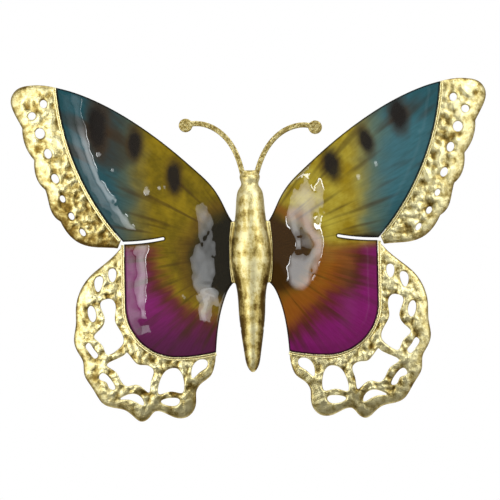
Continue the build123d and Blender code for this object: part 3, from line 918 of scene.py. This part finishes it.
def hammered_sheet(node, name, panel_node, settings, textures):
    """A pierced gilt sheet with hammer dents, and edges that turn back beyond the panel's border."""
    piece = copy_node(node, name)
    outer, *openings = outline_loops(piece, settings.voxel)
    border = outline_tree(*node_outline(panel_node, settings.voxel))
    hem = [point for point in outer if border.find((point.x, 0, point.z))[2] > settings.hem_width]
    outline, hem = outline_tree(outer, *openings), outline_tree(hem)
    even_mesh(piece, settings.voxel, rounds=3)
    flat = points(piece)
    low_end = ramp(flat[:, 2] / MM, *LOW_END)
    *broad, (pits, pit_depth) = textures
    for texture, depth in broad:
        work_sheet(piece, texture, depth)
    rows = points(piece)
    work_sheet(piece, pits, pit_depth)
    rows += (points(piece) - rows) * np.clip(PIT_SHARE + low_end, 0, 1)[:, None]
    turned = turned_edge(distances(outline, flat), settings.edge_width)
    to_hem = distances(hem, flat)
    hemmed = turned_edge(to_hem, settings.hem_width)
    rows[:, 1] -= (rows - flat)[:, 1] * HEM_CALM * np.clip(HEM_REACH - to_hem / settings.hem_width, 0, 1)
    raised = LACE_CONTRAST * (flat[:, 1] - rows[:, 1]) / sum(depth for _, depth in textures) + LEVEL
    front = normals(piece)[:, 1] < 0
    rows[:, 1] += np.where(front, settings.edge_drop * turned, 0) + settings.hem_drop * hemmed
    set_points(piece, rows)
    # Painted shade on the turned edges and the outer hem, which roll away; the low ends are darker by a given
    # share
    tone = LACE_EDGE_SHADE * turned + LACE_HEM_SHADE * hemmed + LOW_END_DARKENING.get(node, 0.0) * low_end
    record_value(piece, "relief", raised - tone)
    return piece


class BUTTERFLY_OT_wing_lace(bpy.types.Operator):
    """Builds the pierced, hammered gilt borders of the wings"""

    bl_idname = "butterfly.wing_lace"
    bl_label = "Wing lace"

    def execute(self, context):
        settings = context.scene.butterfly_gilt
        textures = [
            (cloud_texture("lace_lumps", settings.lump_size, 1), settings.lump_depth),
            (cloud_texture("lace_dents", settings.dent_size, 0), settings.dent_depth),
            (cloud_texture("lace_pits", settings.pit_size, 0), settings.pit_depth),
        ]
        leaf = gilt("lace_leaf", settings, *LACE_LEAF)
        for wing in WINGS:
            for side in SIDES:
                node = f"{wing}_lace_{side}"
                piece = hammered_sheet(node, f"hammered_{node}", "wing_panel_" + side, settings, textures)
                settle(piece, node, "gilt_lace", leaf)
        return {"FINISHED"}


# Groove along the middle of a bead: distance from its edge and half width in millimetres, depth, stain
GROOVE_INSET, GROOVE_WIDTH = 1.0, 0.3
GROOVE_DEPTH = 0.45 * MM
BEAD_RELIEF, GROOVE_STAIN = 0.75, 0.7


class BUTTERFLY_OT_border_beads(bpy.types.Operator):
    """Builds the smooth double beads between the panels and the lace"""

    bl_idname = "butterfly.border_beads"
    bl_label = "Border beads"

    def execute(self, context):
        settings = context.scene.butterfly_gilt
        leaf = gilt("bead_leaf", settings, *BEAD_LEAF)
        for wing in WINGS:
            for side in SIDES:
                node = f"{wing}_rim_{side}"
                piece = copy_node(node, f"bead_{node}")
                outline = outline_tree(*outline_loops(piece, settings.bead_voxel))
                even_mesh(piece, settings.bead_voxel, rounds=6)
                rows = points(piece)
                front = normals(piece)[:, 1] < FRONT
                groove = bell(distances(outline, rows) / MM, GROOVE_INSET, GROOVE_WIDTH) * front
                rows[:, 1] += GROOVE_DEPTH * groove
                set_points(piece, rows)
                record_value(piece, "relief", BEAD_RELIEF - GROOVE_STAIN * groove)
                settle(piece, node, "gilt_rim", leaf)
        return {"FINISHED"}


# Body, in millimetres: how much each distance from the middle shares in the broadening, then the broadened
# heights with their amount, middle and half height
SWELL_PLACES, SWELL_SHARES = (0.0, 9.5, 11.0, 14.0), (0.0, 1.0, 0.7, 0.0)
BROADER = (2.4, -4.0, 16.0), (1.2, 48.0, 6.0)
BODY_LUMP_DEPTH, BODY_DENT_DEPTH = 0.2 * MM, 0.08 * MM

# Ridge along the body's flanges, faint rings round the body, and its sides toward the tail. In the colour the
# ridge and ring crests get painted highlights, and the flanges and sides painted shade
FLANGE_START = 11.0
RIDGE_INSET, RIDGE_WIDTH, RIDGE_HEIGHT = 0.8, 0.5, 0.5 * MM
RING_STEP, RING_HEIGHT = 8.5 * MM, 0.03 * MM
SIDE_FACING, SIDE_SPAN = 0.7, (10.0, -20.0)
RING_SHINE, FLANGE_SHADE, SIDE_SHADE = 0.05, 0.8, 0.4


class BUTTERFLY_OT_body(bpy.types.Operator):
    """Builds the hollow pressed body with its flanges"""

    bl_idname = "butterfly.body"
    bl_label = "Body"

    def execute(self, context):
        settings = context.scene.butterfly_gilt
        piece = copy_node("body_shell", "gilt_body")
        outline = outline_tree(*outline_loops(piece, settings.voxel))
        even_mesh(piece, settings.voxel, rounds=4)
        rows = points(piece)
        edge = distances(outline, rows) / MM
        across, _, up = ((rows - THORAX) / MM).T
        broader = sum(amount * bell(up, middle, half) for amount, middle, half in BROADER)
        swell = np.interp(np.abs(across), SWELL_PLACES, SWELL_SHARES)
        rows[:, 0] += np.sign(across) * swell * broader * MM
        set_points(piece, rows)
        flat = points(piece)
        work_sheet(piece, cloud_texture("body_lumps", settings.lump_size, 2), BODY_LUMP_DEPTH)
        work_sheet(piece, cloud_texture("body_dents", settings.dent_size, 1), BODY_DENT_DEPTH)
        rows = points(piece)
        raised = (flat[:, 1] - rows[:, 1]) / (BODY_LUMP_DEPTH + BODY_DENT_DEPTH) + LEVEL
        flange = (np.abs(across) > FLANGE_START) & (normals(piece)[:, 1] < FRONT)
        ridge = bell(edge, RIDGE_INSET, RIDGE_WIDTH) * flange
        rings = np.sin(2 * pi * flat[:, 2] / RING_STEP)
        rows[:, 1] -= RIDGE_HEIGHT * ridge + np.where(flange, 0, RING_HEIGHT * rings)
        set_points(piece, rows)
        # Painted shade on the sides, which face away, toward the tail, and on the flanges; painted highlights
        # on the ridge and ring crests
        side = ramp(np.abs(normals(piece)[:, 0]), 0, SIDE_FACING) ** 2 * ramp(up, *SIDE_SPAN)
        shine = RING_SHINE * rings + ridge - FLANGE_SHADE * flange - SIDE_SHADE * side
        record_value(piece, "relief", raised + shine)
        settle(piece, "body_shell", "gilt_body", body_leaf(settings))
        return {"FINISHED"}


ANTENNA_GRAIN, ANTENNA_GRAIN_DEPTH = 1.1 * MM, 0.35 * MM
ANTENNA_CONTRAST, ANTENNA_LEVEL = 0.5, 0.4


class BUTTERFLY_OT_antennae(bpy.types.Operator):
    """Builds the two granular gilt antennae"""

    bl_idname = "butterfly.antennae"
    bl_label = "Antennae"

    def execute(self, context):
        settings = context.scene.butterfly_gilt
        grains = cloud_texture("antenna_grains", ANTENNA_GRAIN, 2)
        leaf = gilt("antenna_leaf", settings, *ANTENNA_LEAF)
        for side in SIDES:
            node = "antenna_" + side
            piece = copy_node(node, "grained_" + node)
            even_mesh(piece, settings.bead_voxel, rounds=8)
            flat = points(piece)
            work_sheet(piece, grains, ANTENNA_GRAIN_DEPTH)
            raised = (flat[:, 1] - points(piece)[:, 1]) / ANTENNA_GRAIN_DEPTH
            record_value(piece, "relief", ANTENNA_CONTRAST * raised + ANTENNA_LEVEL)
            settle(piece, node, "gilt_antenna", leaf)
        return {"FINISHED"}


# Metal behind the body: colour, size of its stains in metres; then the ripples on the welds
PLATE_STEEL = paint(150, 148, 142), 0.009
WELD_STEEL = paint(118, 108, 92), 0.003
WELD_VOXEL = 0.15 * MM
WELD_RIPPLE, WELD_RIPPLE_DEPTH = 1.2 * MM, 0.25 * MM


class BUTTERFLY_OT_backing(bpy.types.Operator):
    """Finishes the plate, the hanger and the joints behind the body"""

    bl_idname = "butterfly.backing"
    bl_label = "Backing"

    def execute(self, context):
        steel = worked_steel("backing_steel", *PLATE_STEEL)
        weld = worked_steel("weld_bead", *WELD_STEEL)
        ripple = cloud_texture("weld_ripple", WELD_RIPPLE, 1)
        for node in ("back_plate", "wall_hanger"):
            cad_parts[node].data.materials.clear()
            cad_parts[node].data.materials.append(steel)
        for node in ("hanger_welds", "root_welds", "head_solder"):
            piece = copy_node(node, "rippled_" + node)
            even_mesh(piece, WELD_VOXEL, rounds=6)
            work_sheet(piece, ripple, -WELD_RIPPLE_DEPTH, way="NORMAL", level=0.7)
            settle(piece, node, "weld_metal", weld)
        return {"FINISHED"}


# Stage


# Lamps: name, bearing and rise from the front in degrees, width and height in metres, brightness setting
LAMPS = (
    ("key_softbox", -30, -3, (0.55, 1.2), "key"),
    ("fill_softbox", 35, 24, (0.7, 0.65), "fill"),
    ("side_softbox", 37, 0, (0.5, 1.0), "side"),
    ("top_softbox", 0, 58, (1.1, 0.5), "top"),
    ("strip_lamp", -17.4, 3, (0.035, 0.45), "strip"),
    ("outer_softbox", -54, -8, (0.6, 0.9), "outer"),
)
LAMP_DISTANCE = 1.4
LAMP_COLOUR = 0.95, 0.98, 1.0

# A softbox is brighter in its middle: where it falls off, in shares of its width, and its levels
SOFTBOX_EDGE, SOFTBOX_FALL = (0.15, 0.5), (1.25, 0.6)

# The tent brightens from its setting to TENT_RIM between two angles from the front
TENT_RADIUS, TENT_ANGLES, TENT_RIM = 2.4, (50, 82), 0.7
CARD_AWAY, CARD_DEPTH, CARD_HEIGHT, CARD_GLOW = 0.36, 0.8, 1.0, 0.4
CLOTH_COLOUR, CLOTH_LIGHT = (0.02, 0.02, 0.02), (1.0, 0.96, 0.9)
FLOOR_SIZE, FLOOR_PLACE = 1.1, -0.32
CAMERA_SHIFT = -0.6 * MM


class BUTTERFLY_OT_stage(bpy.types.Operator):
    """Builds the floor, the lamps, the tent, the pale surroundings and the camera"""

    bl_idname = "butterfly.stage"
    bl_label = "Stage"

    def execute(self, context):
        studio = context.scene.butterfly_studio
        low, high = CAD_BOX
        centre = Vector((0, (low.y + high.y) / 2, THORAX.z))
        floor(studio, low.z - studio.floor_drop)
        tent(studio, centre)
        for side in (-1, 1):
            card(side, centre)
        for name, bearing, rise, size, brightness in LAMPS:
            softbox(name, centre, bearing, rise, size, getattr(studio, brightness))
        surroundings(context.scene, studio)
        camera(context.scene, studio, centre)
        context.scene.view_settings.view_transform = "Standard"
        return {"FINISHED"}


def floor(studio, height):
    """A pale floor under the ornament, which stays out of the gloss."""
    place = 0, FLOOR_PLACE, height
    plane = add(bpy.ops.mesh.primitive_plane_add, "studio_floor", size=FLOOR_SIZE, location=place)
    plane.visible_glossy = False
    finish = Finish("studio_floor")
    finish.set(Base_Color=studio.floor_colour, Roughness=0.8)
    plane.data.materials.append(finish.material)


def lit_cloth(sheet, level):
    """Makes an object a sheet of softly lit cloth that the camera doesn't see."""
    finish = Finish(sheet.name)
    finish.set(Base_Color=CLOTH_COLOUR, Roughness=0.9, Emission_Color=CLOTH_LIGHT)
    finish.set(Emission_Strength=level(finish))
    sheet.visible_camera = False
    sheet.data.materials.append(finish.material)


def tent(studio, centre):
    """A half-dome in front of the ornament, dim in the middle and brighter toward its rim."""
    mesh = {"segments": 48, "ring_count": 24, "radius": TENT_RADIUS}
    dome = add(bpy.ops.mesh.primitive_uv_sphere_add, "dim_tent", location=centre, **mesh)
    with editing(dome):
        bpy.ops.mesh.bisect(plane_co=centre, plane_no=(0, -1, 0), clear_inner=True)

    def level(finish):
        depth = finish.node("ShaderNodeSeparateXYZ", {0: finish.place}).outputs["Y"]
        start, end = (-TENT_RADIUS * cos(radians(angle)) for angle in TENT_ANGLES)
        return finish.ease(depth, start, end, studio.tent, TENT_RIM)

    lit_cloth(dome, level)


def card(side, centre):
    """A dim card beside and behind the ornament, which tones the edges of round metal."""
    name = "dark_flag_left" if side < 0 else "dark_flag_right"
    place = centre + Vector((side * CARD_AWAY, CARD_DEPTH / 2, 0))
    sheet = add(bpy.ops.mesh.primitive_plane_add, name, size=1, location=place, rotation=(0, pi / 2, 0))
    sheet.scale = (CARD_HEIGHT, CARD_DEPTH, 1)
    lit_cloth(sheet, lambda finish: CARD_GLOW)


def softbox(name, centre, bearing, rise, size, brightness):
    """A soft lamp at a bearing and a rise from the front, turned to the ornament."""
    away, up = radians(bearing), radians(rise)
    way = Vector((sin(away) * cos(up), -cos(away) * cos(up), sin(up)))
    lamp = add(bpy.ops.object.light_add, name, type="AREA", location=centre + LAMP_DISTANCE * way)
    lamp.rotation_euler = (-way).to_track_quat("-Z", "Y").to_euler()
    lamp.data.color = LAMP_COLOUR
    lamp.data.shape = "RECTANGLE"
    lamp.data.size, lamp.data.size_y = size
    lamp.data.energy = brightness * pi * size[0] * size[1]
    lamp.data.use_nodes = True
    nodes = Nodes(lamp.data.node_tree)
    place = nodes.node("ShaderNodeNewGeometry").outputs["Parametric"]
    across, along, _ = nodes.node("ShaderNodeSeparateXYZ", {0: place}).outputs
    rim = [nodes.math("ABSOLUTE", nodes.math("SUBTRACT", share, 0.5)) for share in (across, along)]
    level = nodes.ease(nodes.math("MAXIMUM", *rim), *SOFTBOX_EDGE, *SOFTBOX_FALL)
    nodes.feed(nodes.tree.nodes["Emission"].inputs["Strength"], level)


def surroundings(scene, studio):
    """White surroundings for the camera and for gloss, and a dimmer light from all round."""
    world = bpy.data.worlds.new("white_surroundings")
    world.use_nodes = True
    scene.world = world
    nodes = Nodes(world.node_tree)
    path = nodes.node("ShaderNodeLightPath").outputs
    seen = nodes.math("MAXIMUM", path["Is Camera Ray"], path["Is Glossy Ray"])
    seen = nodes.math("MAXIMUM", seen, path["Is Transmission Ray"])
    level = nodes.node("ShaderNodeMapRange", {"Value": seen, "To Min": studio.ambient}).outputs["Result"]
    background = nodes.tree.nodes["Background"]
    nodes.feed(background.inputs["Color"], (1, 1, 1))
    nodes.feed(background.inputs["Strength"], level)


def camera(scene, studio, centre):
    """A long lens straight in front, with the photograph's framing."""
    place = centre + Vector((CAMERA_SHIFT, -studio.distance, 0))
    turn = pi / 2, studio.roll, 0
    view = add(bpy.ops.object.camera_add, "front_camera", location=place, rotation=turn)
    view.data.lens = view.data.sensor_width * studio.distance / studio.field
    scene.camera = view


class BUTTERFLY_PT_pieces(bpy.types.Panel):
    """Lists the ornament's pieces and settings in the sidebar"""

    bl_idname = "BUTTERFLY_PT_pieces"
    bl_label = "Butterfly ornament"
    bl_space_type = "VIEW_3D"
    bl_region_type = "UI"
    bl_category = "Butterfly"

    def draw(self, context):
        for operator in OPERATORS:
            self.layout.operator(operator.bl_idname)
        for name in SETTINGS:
            group = getattr(context.scene, name)
            box = self.layout.box()
            for setting in group.bl_rna.properties:
                if setting.identifier not in ("rna_type", "name"):
                    box.prop(group, setting.identifier)


SETTINGS = {
    "butterfly_wings": WingSettings,
    "butterfly_gilt": GiltSettings,
    "butterfly_studio": StudioSettings,
}
OPERATORS = (
    BUTTERFLY_OT_wing_panels,
    BUTTERFLY_OT_wing_lace,
    BUTTERFLY_OT_border_beads,
    BUTTERFLY_OT_body,
    BUTTERFLY_OT_antennae,
    BUTTERFLY_OT_backing,
    BUTTERFLY_OT_stage,
)
CLASSES = (*SETTINGS.values(), *OPERATORS, BUTTERFLY_PT_pieces)


def register():
    for item in CLASSES:
        bpy.utils.register_class(item)
    for name, group in SETTINGS.items():
        setattr(bpy.types.Scene, name, PointerProperty(type=group))


def unregister():
    for name in SETTINGS:
        delattr(bpy.types.Scene, name)
    for item in reversed(CLASSES):
        bpy.utils.unregister_class(item)


def main():
    register()
    bpy.ops.butterfly.wing_panels()
    bpy.ops.butterfly.wing_lace()
    bpy.ops.butterfly.border_beads()
    bpy.ops.butterfly.body()
    bpy.ops.butterfly.antennae()
    bpy.ops.butterfly.backing()
    bpy.ops.butterfly.stage()


if __name__ == "__main__":
    main()
